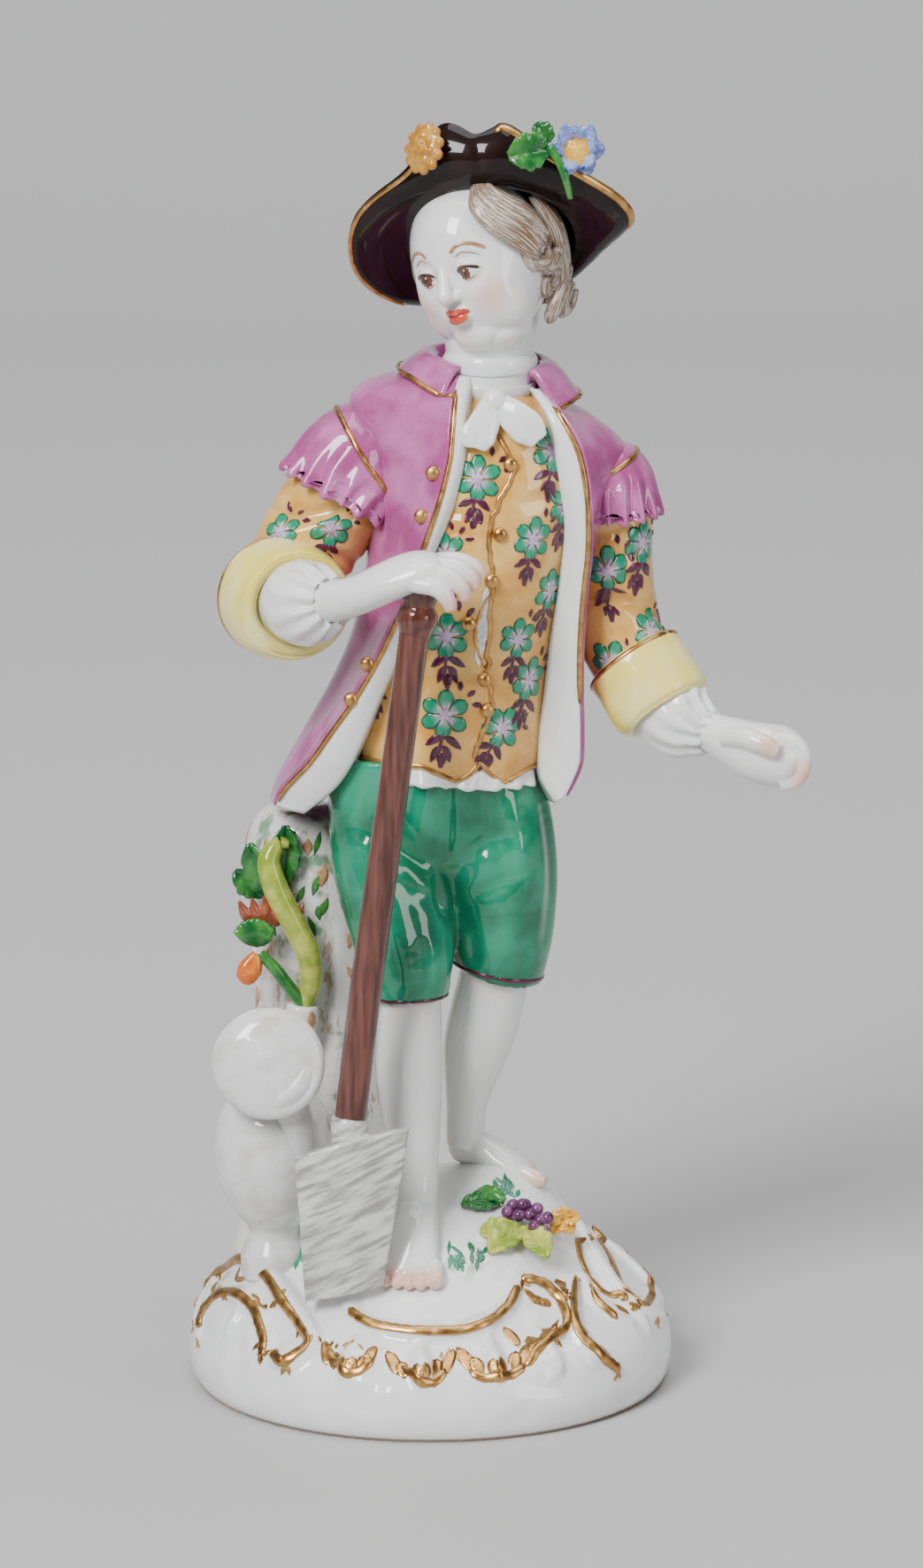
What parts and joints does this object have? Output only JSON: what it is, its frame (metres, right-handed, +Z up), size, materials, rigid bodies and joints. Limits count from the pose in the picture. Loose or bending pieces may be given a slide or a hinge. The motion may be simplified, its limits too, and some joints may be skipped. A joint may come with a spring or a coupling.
{
  "type": "porcelain figurine",
  "caption": "Glazed porcelain figurine of a gardener boy in a cocked hat who leans on a spade beside a watering can and tree stump, on a domed scrollwork base.",
  "frame": {"origin": "centre of the circle the base stands on, on the table", "axes": "+Z up, -Y the way the boy's chest and toes face, +X towards his outstretched left hand"},
  "size_m": [0.0658, 0.0542, 0.1385],
  "materials": {
    "black_enamel": "fired enamel, glossy",
    "blue_enamel": "fired enamel, glossy",
    "brown_enamel": "fired enamel, streaked, glossy",
    "flesh_tint": "white porcelain, softly tinted, under a clear glaze",
    "gilding": "burnished gold over the glaze",
    "green_enamel": "fired enamel, glossy",
    "hair_enamel": "brushed enamel strands over the glaze",
    "leaf_enamel": "fired enamel, glossy",
    "lemon_enamel": "fired enamel, glossy",
    "mauve_enamel": "fired enamel, glossy",
    "ochre_enamel": "fired enamel, glossy",
    "purple_enamel": "fired enamel, glossy",
    "straw_enamel": "fired enamel with painted flowers, glossy",
    "white_glaze": "white porcelain under a clear glaze"
  },
  "bodies": {
    "root": {"branch_stub": "white_glaze", "breeches": "green_enamel", "can_body": "white_glaze", "can_foot": "white_glaze", "can_handle": "white_glaze", "can_rose": "white_glaze", "can_spout": "white_glaze", "coat_collar": "mauve_enamel", "coat_left": "mauve_enamel", "coat_right": "mauve_enamel", "cuff_left": "lemon_enamel", "cuff_right": "lemon_enamel", "curls_left": "hair_enamel", "curls_right": "hair_enamel", "flower_stalk": "leaf_enamel", "grape_flower": "purple_enamel", "green_leaf": "leaf_enamel", "hair_back": "hair_enamel", "hand_left": "flesh_tint", "hand_right": "flesh_tint", "hanging_flower": "ochre_enamel", "hat_brim": "black_enamel", "hat_crown": "black_enamel", "hat_flower": "blue_enamel", "hat_flower_heart": "ochre_enamel", "hat_leaf": "leaf_enamel", "hat_rosette": "ochre_enamel", "head": "flesh_tint", "leg_left": "flesh_tint", "leg_right": "flesh_tint", "mound_base": "white_glaze", "neckcloth": "white_glaze", "neckcloth_end_left": "white_glaze", "neckcloth_end_right": "white_glaze", "orange_petal": "ochre_enamel", "pod_tall": "leaf_enamel", "scroll_1": "gilding", "scroll_2": "gilding", "scroll_3": "gilding", "scroll_4": "gilding", "scroll_5": "gilding", "scroll_6": "gilding", "scroll_7": "gilding", "scroll_8": "gilding", "shirt_tail": "white_glaze", "sleeve_left": "straw_enamel", "sleeve_right": "straw_enamel", "sleeve_ruffle_left": "mauve_enamel", "sleeve_ruffle_right": "mauve_enamel", "spade_blade": "white_glaze", "spade_shaft": "brown_enamel", "stump_leaf": "leaf_enamel", "tree_stump": "white_glaze", "waistcoat": "straw_enamel", "wrist_frill_left": "white_glaze", "wrist_frill_right": "white_glaze", "yellow_leaf": "lemon_enamel", "yellow_leaf_small": "lemon_enamel"}
  },
  "joints": []
}
